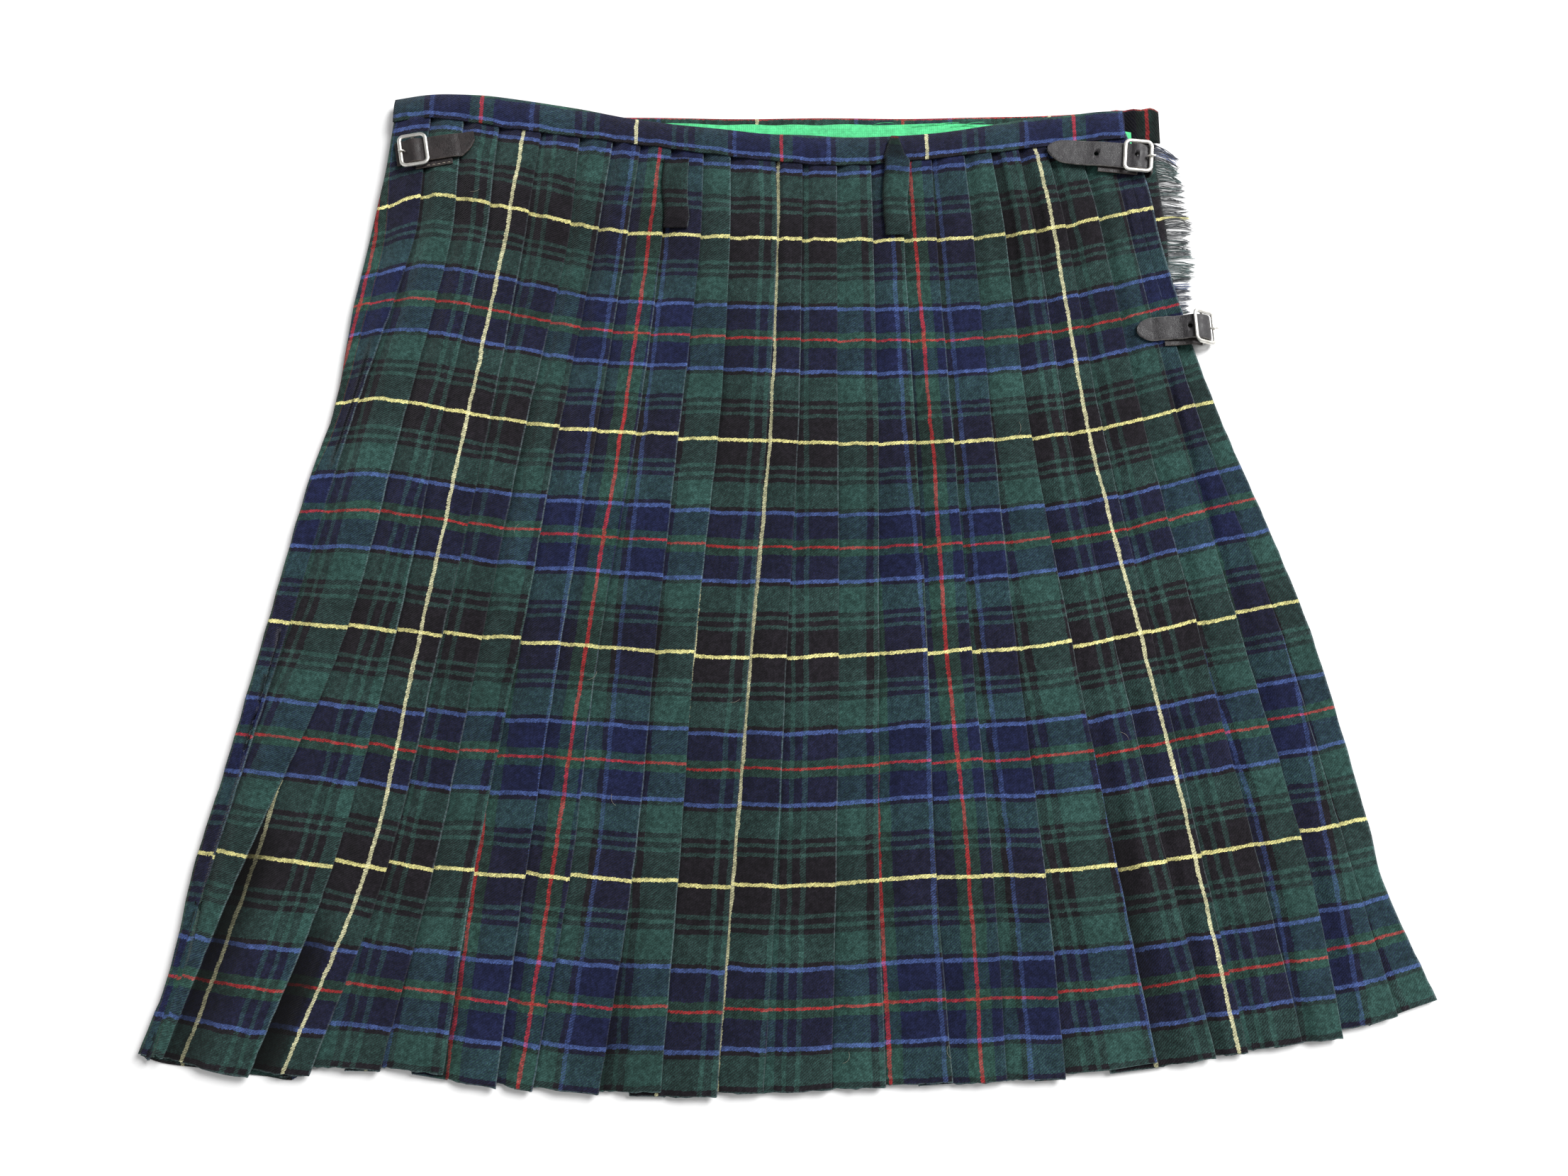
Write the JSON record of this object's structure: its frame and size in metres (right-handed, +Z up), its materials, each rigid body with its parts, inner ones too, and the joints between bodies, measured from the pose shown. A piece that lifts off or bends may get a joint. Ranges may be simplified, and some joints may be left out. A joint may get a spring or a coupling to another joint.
{
  "type": "scottish kilt laid flat",
  "caption": "Tartan wrap kilt laid flat face down: knife-pleated back over flat aprons, waistband, fringed apron edge, leather straps and metal buckles.",
  "frame": {"origin": "middle of the footprint, on the surface that the kilt lies on", "axes": "+X across the kilt, to the right in the picture; +Y from the hem to the waist; +Z up from the surface"},
  "size_m": [0.7702, 0.6406, 0.017],
  "materials": {
    "tartan": "wool twill in green, black and navy checks with yellow, red and blue lines, matt with a short nap",
    "lining": "plain bright green lining cloth, slight sheen",
    "leather": "black strap leather with a soft grain, satin",
    "nickel": "polished nickel plate"
  },
  "bodies": {
    "root": {"over_apron": "tartan", "under_apron": "tartan", "back_panel": "tartan", "waistband_front": "tartan", "waistband_back": "tartan", "belt_loop_left": "tartan", "belt_loop_right": "tartan", "apron_fringe": "tartan", "lining": "lining", "strap_waist_right": "leather", "strap_hip_right": "leather", "strap_waist_left": "leather", "buckle_tab_waist_right": "leather", "buckle_tab_hip_right": "leather", "buckle_tab_waist_left": "leather", "buckle_frame_waist_right": "nickel", "buckle_frame_hip_right": "nickel", "buckle_frame_waist_left": "nickel", "buckle_bar_waist_right": "nickel", "buckle_bar_hip_right": "nickel", "buckle_bar_waist_left": "nickel", "buckle_prong_waist_right": "nickel", "buckle_prong_hip_right": "nickel", "buckle_prong_waist_left": "nickel"}
  },
  "joints": []
}
